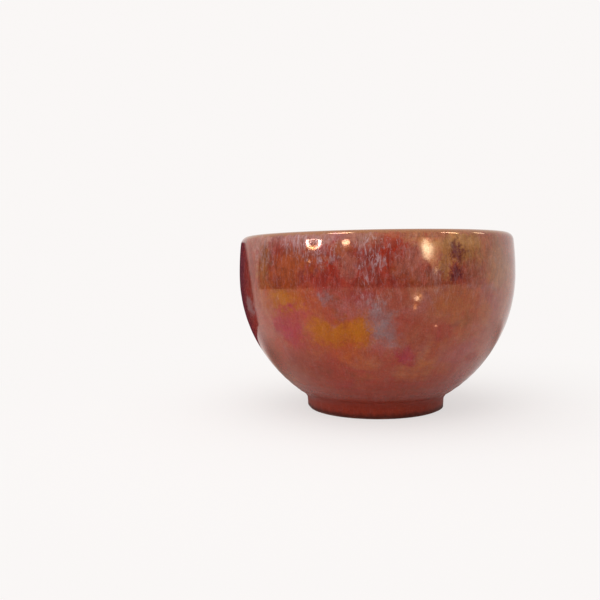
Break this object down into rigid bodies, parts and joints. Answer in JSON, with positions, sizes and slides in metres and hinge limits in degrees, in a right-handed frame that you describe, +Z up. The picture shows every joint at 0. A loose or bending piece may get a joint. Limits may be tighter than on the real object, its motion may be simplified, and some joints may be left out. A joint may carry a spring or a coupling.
{
  "type": "ceramic bowl",
  "caption": "Round thrown ceramic bowl with a deep belly, a lip drawn slightly in and a low turned foot ring, slipped red and glazed with an iridescent lustre.",
  "frame": {"origin": "centre of the foot ring's ground face, on the surface that the bowl stands on", "axes": "+Z up through the mouth, the axis that the bowl was turned about; +X to the right and +Y away from the viewer, in the picture's front view"},
  "size_m": [0.125, 0.125, 0.0792],
  "materials": {
    "red_clay": "bare fired red clay, matt and slightly gritty",
    "red_slip": "fine red slip with a low silky sheen",
    "outer_lustre": "glossy iridescent lustre in gold, magenta, orange and blue-grey clouds over red",
    "lip_lustre": "thin glossy amber lustre",
    "inner_lustre": "dark glossy aubergine glaze with gold and silver-green lustre towards the floor"
  },
  "bodies": {
    "root": {"clay_bowl": "red_clay", "foot_ring": "red_clay", "slip_coat": "red_slip", "well_slip": "red_slip", "outer_glaze": "outer_lustre", "lip_glaze": "lip_lustre", "inner_glaze": "inner_lustre"}
  },
  "joints": []
}
